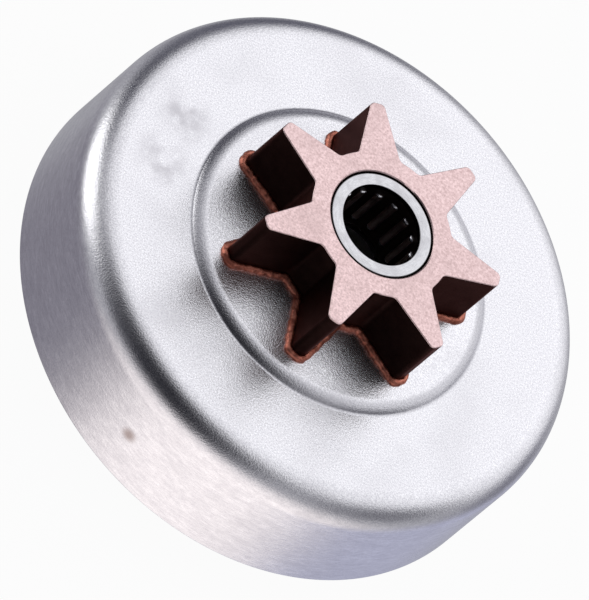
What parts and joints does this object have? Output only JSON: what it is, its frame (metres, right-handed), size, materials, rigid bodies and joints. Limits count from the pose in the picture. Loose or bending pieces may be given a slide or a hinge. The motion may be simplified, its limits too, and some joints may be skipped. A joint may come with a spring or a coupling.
{
  "type": "chainsaw clutch drum",
  "caption": "Drawn steel clutch drum with a raised centre, a brazed spur sprocket for the saw chain and a pressed-in caged needle bearing.",
  "frame": {"origin": "centre of the drum's open rim, in the plane of the rim", "axes": "+Z along the shaft bore, from the open rim to the sprocket; one tooth of the sprocket lies along +X"},
  "size_m": [0.084, 0.084, 0.0345],
  "materials": {
    "drum_steel": "satin",
    "sprocket_steel": "satin",
    "braze_copper": "rough",
    "bearing_steel": "polished",
    "cage_steel": "satin",
    "needle_steel": "polished"
  },
  "bodies": {
    "drum": {"drum_cup": "drum_steel", "sprocket": "sprocket_steel", "braze_bead": "braze_copper", "bearing_shell": "bearing_steel"},
    "cage": {"needle_cage": "cage_steel"},
    "needle_01": {"needle_01": "needle_steel"},
    "needle_02": {"needle_02": "needle_steel"},
    "needle_03": {"needle_03": "needle_steel"},
    "needle_04": {"needle_04": "needle_steel"},
    "needle_05": {"needle_05": "needle_steel"},
    "needle_06": {"needle_06": "needle_steel"},
    "needle_07": {"needle_07": "needle_steel"},
    "needle_08": {"needle_08": "needle_steel"},
    "needle_09": {"needle_09": "needle_steel"},
    "needle_10": {"needle_10": "needle_steel"},
    "needle_11": {"needle_11": "needle_steel"},
    "needle_12": {"needle_12": "needle_steel"},
    "needle_13": {"needle_13": "needle_steel"},
    "needle_14": {"needle_14": "needle_steel"},
    "needle_15": {"needle_15": "needle_steel"}
  },
  "joints": [
    {"name": "cage_spin", "type": "hinge", "parent": "drum", "child": "cage", "pos_m": [0, 0, 0.02795], "axis": [0, 0, 1], "continuous": true},
    {"name": "needle_01_spin", "type": "hinge", "parent": "cage", "child": "needle_01", "pos_m": [0.0068, 0.00227, 0.02795], "axis": [0, 0, 1], "continuous": true},
    {"name": "needle_02_spin", "type": "hinge", "parent": "cage", "child": "needle_02", "pos_m": [0.00528, 0.00484, 0.02795], "axis": [0, 0, 1], "continuous": true},
    {"name": "needle_03_spin", "type": "hinge", "parent": "cage", "child": "needle_03", "pos_m": [0.00286, 0.00657, 0.02795], "axis": [0, 0, 1], "continuous": true},
    {"name": "needle_04_spin", "type": "hinge", "parent": "cage", "child": "needle_04", "pos_m": [-0.00006, 0.00717, 0.02795], "axis": [0, 0, 1], "continuous": true},
    {"name": "needle_05_spin", "type": "hinge", "parent": "cage", "child": "needle_05", "pos_m": [-0.00297, 0.00652, 0.02795], "axis": [0, 0, 1], "continuous": true},
    {"name": "needle_06_spin", "type": "hinge", "parent": "cage", "child": "needle_06", "pos_m": [-0.00537, 0.00475, 0.02795], "axis": [0, 0, 1], "continuous": true},
    {"name": "needle_07_spin", "type": "hinge", "parent": "cage", "child": "needle_07", "pos_m": [-0.00683, 0.00215, 0.02795], "axis": [0, 0, 1], "continuous": true},
    {"name": "needle_08_spin", "type": "hinge", "parent": "cage", "child": "needle_08", "pos_m": [-0.00712, -0.00081, 0.02795], "axis": [0, 0, 1], "continuous": true},
    {"name": "needle_09_spin", "type": "hinge", "parent": "cage", "child": "needle_09", "pos_m": [-0.00617, -0.00364, 0.02795], "axis": [0, 0, 1], "continuous": true},
    {"name": "needle_10_spin", "type": "hinge", "parent": "cage", "child": "needle_10", "pos_m": [-0.00416, -0.00583, 0.02795], "axis": [0, 0, 1], "continuous": true},
    {"name": "needle_11_spin", "type": "hinge", "parent": "cage", "child": "needle_11", "pos_m": [-0.00143, -0.00702, 0.02795], "axis": [0, 0, 1], "continuous": true},
    {"name": "needle_12_spin", "type": "hinge", "parent": "cage", "child": "needle_12", "pos_m": [0.00155, -0.007, 0.02795], "axis": [0, 0, 1], "continuous": true},
    {"name": "needle_13_spin", "type": "hinge", "parent": "cage", "child": "needle_13", "pos_m": [0.00426, -0.00576, 0.02795], "axis": [0, 0, 1], "continuous": true},
    {"name": "needle_14_spin", "type": "hinge", "parent": "cage", "child": "needle_14", "pos_m": [0.00624, -0.00353, 0.02795], "axis": [0, 0, 1], "continuous": true},
    {"name": "needle_15_spin", "type": "hinge", "parent": "cage", "child": "needle_15", "pos_m": [0.00713, -0.00069, 0.02795], "axis": [0, 0, 1], "continuous": true}
  ],
  "couplings": [
    {"joint": "needle_01_spin", "follows": "cage_spin", "ratio": -10.025},
    {"joint": "needle_02_spin", "follows": "cage_spin", "ratio": -10.025},
    {"joint": "needle_03_spin", "follows": "cage_spin", "ratio": -10.025},
    {"joint": "needle_04_spin", "follows": "cage_spin", "ratio": -10.025},
    {"joint": "needle_05_spin", "follows": "cage_spin", "ratio": -10.025},
    {"joint": "needle_06_spin", "follows": "cage_spin", "ratio": -10.025},
    {"joint": "needle_07_spin", "follows": "cage_spin", "ratio": -10.025},
    {"joint": "needle_08_spin", "follows": "cage_spin", "ratio": -10.025},
    {"joint": "needle_09_spin", "follows": "cage_spin", "ratio": -10.025},
    {"joint": "needle_10_spin", "follows": "cage_spin", "ratio": -10.025},
    {"joint": "needle_11_spin", "follows": "cage_spin", "ratio": -10.025},
    {"joint": "needle_12_spin", "follows": "cage_spin", "ratio": -10.025},
    {"joint": "needle_13_spin", "follows": "cage_spin", "ratio": -10.025},
    {"joint": "needle_14_spin", "follows": "cage_spin", "ratio": -10.025},
    {"joint": "needle_15_spin", "follows": "cage_spin", "ratio": -10.025}
  ]
}
